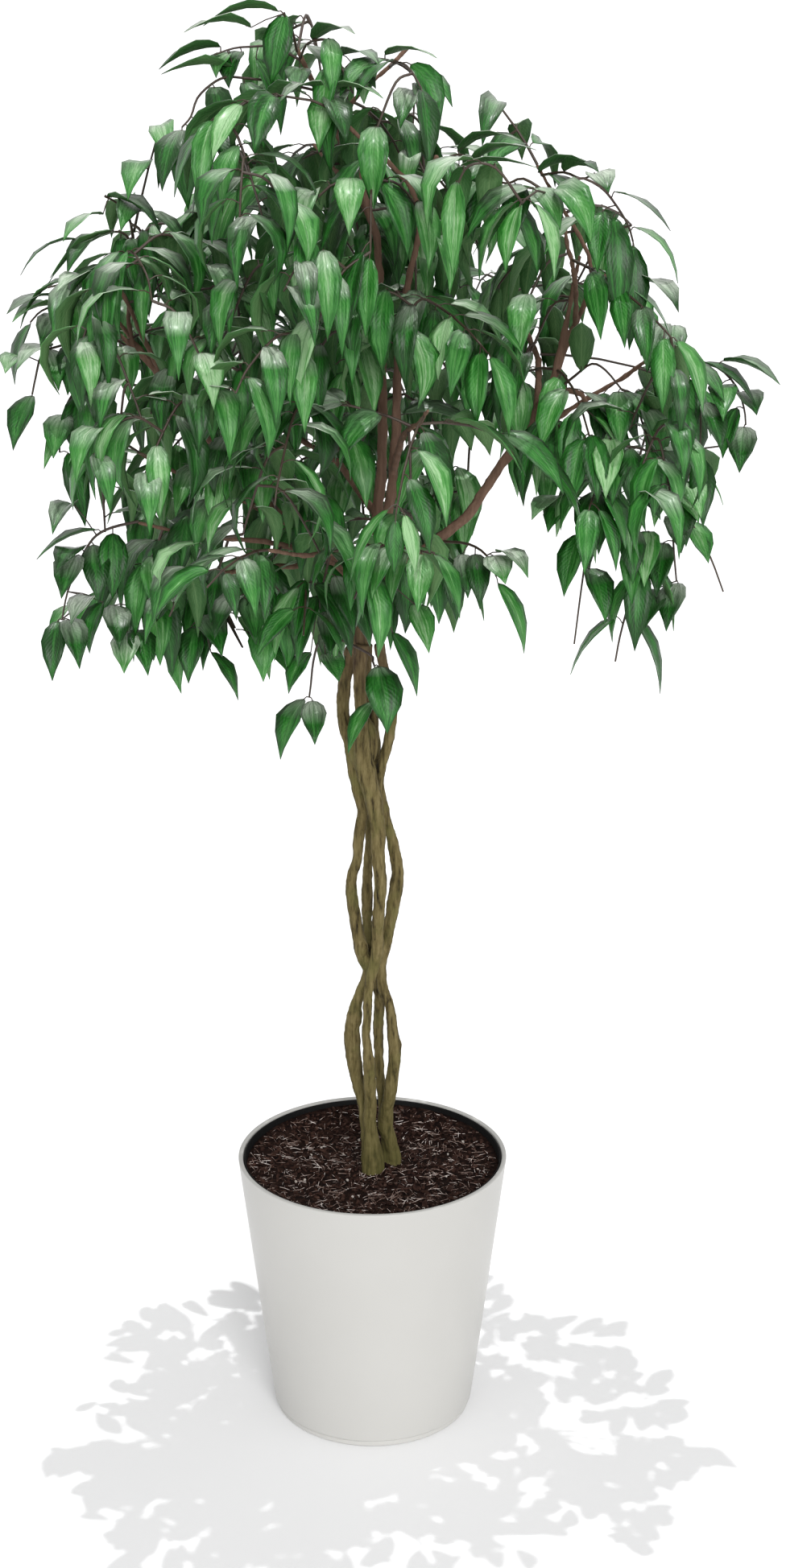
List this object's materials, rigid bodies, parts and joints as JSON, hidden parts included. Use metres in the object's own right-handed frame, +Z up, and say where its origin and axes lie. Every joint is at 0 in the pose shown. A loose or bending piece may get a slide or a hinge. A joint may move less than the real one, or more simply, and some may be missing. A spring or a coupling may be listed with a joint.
{
  "type": "potted weeping fig",
  "caption": "Weeping fig with a braided trunk and a full crown of drooping leaf sprays, rooted in soil in a nursery pot inside a tapered round planter.",
  "frame": {"origin": "centre of the pot's flat underside, where it stands on the floor", "axes": "+Z up along the pot's axis, -Y towards the pictured front, +X to the right in that view"},
  "size_m": [0.8628, 0.8201, 1.734],
  "materials": {
    "pot": "satin",
    "liner": "satin",
    "soil": "matte",
    "bark": "matte",
    "leaf": "satin"
  },
  "bodies": {
    "root": {"pot": "pot", "nursery_pot": "liner", "soil": "soil", "stem_a": "bark", "stem_b": "bark", "spray_01": "leaf", "spray_02": "leaf", "spray_03": "leaf", "spray_04": "leaf", "spray_05": "leaf", "spray_06": "leaf", "spray_07": "leaf", "spray_08": "leaf", "spray_09": "leaf", "spray_10": "leaf", "spray_11": "leaf", "spray_12": "leaf", "spray_13": "leaf", "spray_14": "leaf", "spray_15": "leaf", "spray_16": "leaf", "spray_17": "leaf", "spray_18": "leaf", "spray_19": "leaf", "spray_20": "leaf", "spray_21": "leaf", "spray_22": "leaf", "spray_23": "leaf", "spray_24": "leaf", "spray_25": "leaf", "spray_26": "leaf", "spray_27": "leaf", "spray_28": "leaf", "spray_29": "leaf", "spray_30": "leaf", "spray_31": "leaf", "spray_32": "leaf", "spray_33": "leaf", "spray_34": "leaf", "spray_35": "leaf", "spray_36": "leaf", "spray_37": "leaf", "spray_38": "leaf", "spray_39": "leaf", "spray_40": "leaf", "spray_41": "leaf", "spray_42": "leaf", "spray_43": "leaf", "spray_44": "leaf", "spray_45": "leaf", "spray_46": "leaf", "spray_47": "leaf", "spray_48": "leaf", "spray_49": "leaf", "spray_50": "leaf", "spray_51": "leaf", "spray_52": "leaf", "spray_53": "leaf"}
  },
  "joints": []
}
